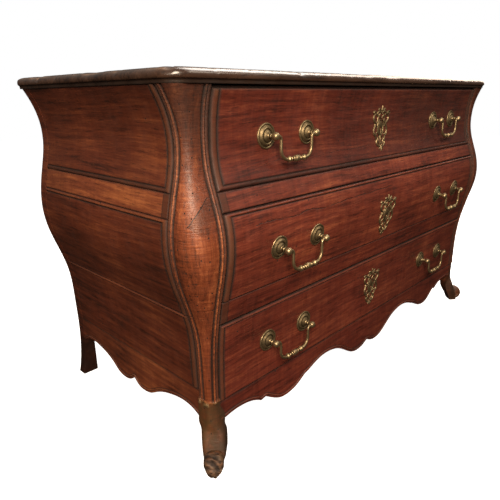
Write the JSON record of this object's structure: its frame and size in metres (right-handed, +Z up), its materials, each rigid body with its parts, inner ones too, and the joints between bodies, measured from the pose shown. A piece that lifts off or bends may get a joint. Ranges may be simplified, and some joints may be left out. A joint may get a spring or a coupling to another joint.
{
  "type": "bombe chest of drawers",
  "caption": "Low wooden chest swelling on its front and sides, with wide sliding drawers, hanging brass bail handles, pierced keyhole plates, a scalloped apron and short scrolled feet.",
  "frame": {"origin": "on the floor under the middle of the chest's bounding box, drawers shut and bails hanging", "axes": "+X to the right along the front as seen by someone facing it, -Y out of the front, +Z up"},
  "size_m": [1.416, 0.6603, 0.83],
  "materials": {
    "mahogany_front": "old wax polish over reddish mahogany, worn and cracked",
    "mahogany_side": "old wax polish, darker brown",
    "mahogany_stile": "polished, worn on the swell, olive brown on the legs",
    "mahogany_top": "dark polish, worn on the edge",
    "plain_wood": "raw planed timber, aged",
    "aged_brass": "cast brass with dark tarnish in the hollows",
    "lock_iron": "dull forged iron"
  },
  "bodies": {
    "carcase": {"top_slab": "mahogany_top", "stile_front_left": "mahogany_stile", "stile_front_right": "mahogany_stile", "stile_back_left": "mahogany_stile", "stile_back_right": "mahogany_stile", "side_panel_upper_left": "mahogany_side", "side_rail_left": "mahogany_side", "side_panel_middle_left": "mahogany_side", "side_panel_lower_left": "mahogany_side", "side_apron_left": "mahogany_side", "drawer_guide_left": "plain_wood", "side_panel_upper_right": "mahogany_side", "side_rail_right": "mahogany_side", "side_panel_middle_right": "mahogany_side", "side_panel_lower_right": "mahogany_side", "side_apron_right": "mahogany_side", "drawer_guide_right": "plain_wood", "rail_upper": "mahogany_front", "rail_lower": "mahogany_front", "front_apron": "mahogany_front", "top_rail_front": "plain_wood", "top_rail_back": "plain_wood", "back_board_upper": "plain_wood", "back_board_lower": "plain_wood", "dust_board_upper": "plain_wood", "dust_board_lower": "plain_wood", "bottom_board": "plain_wood"},
    "drawer_upper": {"drawer_upper_front": "mahogany_front", "drawer_upper_side_left": "plain_wood", "drawer_upper_side_right": "plain_wood", "drawer_upper_back": "plain_wood", "drawer_upper_bottom": "plain_wood", "rosettes_upper": "aged_brass", "handle_posts_upper": "aged_brass", "keyhole_plate_upper": "aged_brass", "lock_upper": "lock_iron"},
    "drawer_middle": {"drawer_middle_front": "mahogany_front", "drawer_middle_side_left": "plain_wood", "drawer_middle_side_right": "plain_wood", "drawer_middle_back": "plain_wood", "drawer_middle_bottom": "plain_wood", "rosettes_middle": "aged_brass", "handle_posts_middle": "aged_brass", "keyhole_plate_middle": "aged_brass", "lock_middle": "lock_iron"},
    "drawer_lower": {"drawer_lower_front": "mahogany_front", "drawer_lower_side_left": "plain_wood", "drawer_lower_side_right": "plain_wood", "drawer_lower_back": "plain_wood", "drawer_lower_bottom": "plain_wood", "rosettes_lower": "aged_brass", "handle_posts_lower": "aged_brass", "keyhole_plate_lower": "aged_brass", "lock_lower": "lock_iron"},
    "bail_upper_left": {"bail_upper_left": "aged_brass"},
    "bail_upper_right": {"bail_upper_right": "aged_brass"},
    "bail_middle_left": {"bail_middle_left": "aged_brass"},
    "bail_middle_right": {"bail_middle_right": "aged_brass"},
    "bail_lower_left": {"bail_lower_left": "aged_brass"},
    "bail_lower_right": {"bail_lower_right": "aged_brass"}
  },
  "joints": [
    {"name": "drawer_upper_slide", "type": "slide", "parent": "carcase", "child": "drawer_upper", "axis": [0, -1, 0], "range_m": [0, 0.42]},
    {"name": "drawer_middle_slide", "type": "slide", "parent": "carcase", "child": "drawer_middle", "axis": [0, -1, 0], "range_m": [0, 0.42]},
    {"name": "drawer_lower_slide", "type": "slide", "parent": "carcase", "child": "drawer_lower", "axis": [0, -1, 0], "range_m": [0, 0.42]},
    {"name": "bail_upper_left_swing", "type": "hinge", "parent": "drawer_upper", "child": "bail_upper_left", "pos_m": [-0.391, -0.28454, 0.70431], "axis": [-1, 0, 0], "range_deg": [-10, 95]},
    {"name": "bail_upper_right_swing", "type": "hinge", "parent": "drawer_upper", "child": "bail_upper_right", "pos_m": [0.391, -0.28454, 0.70431], "axis": [-1, 0, 0], "range_deg": [-10, 95]},
    {"name": "bail_middle_left_swing", "type": "hinge", "parent": "drawer_middle", "child": "bail_middle_left", "pos_m": [-0.391, -0.32216, 0.47114], "axis": [-1, 0, 0], "range_deg": [-10, 95]},
    {"name": "bail_middle_right_swing", "type": "hinge", "parent": "drawer_middle", "child": "bail_middle_right", "pos_m": [0.391, -0.32216, 0.47114], "axis": [-1, 0, 0], "range_deg": [-10, 95]},
    {"name": "bail_lower_left_swing", "type": "hinge", "parent": "drawer_lower", "child": "bail_lower_left", "pos_m": [-0.391, -0.29012, 0.24123], "axis": [-1, 0, 0], "range_deg": [-10, 95]},
    {"name": "bail_lower_right_swing", "type": "hinge", "parent": "drawer_lower", "child": "bail_lower_right", "pos_m": [0.391, -0.29012, 0.24123], "axis": [-1, 0, 0], "range_deg": [-10, 95]}
  ]
}
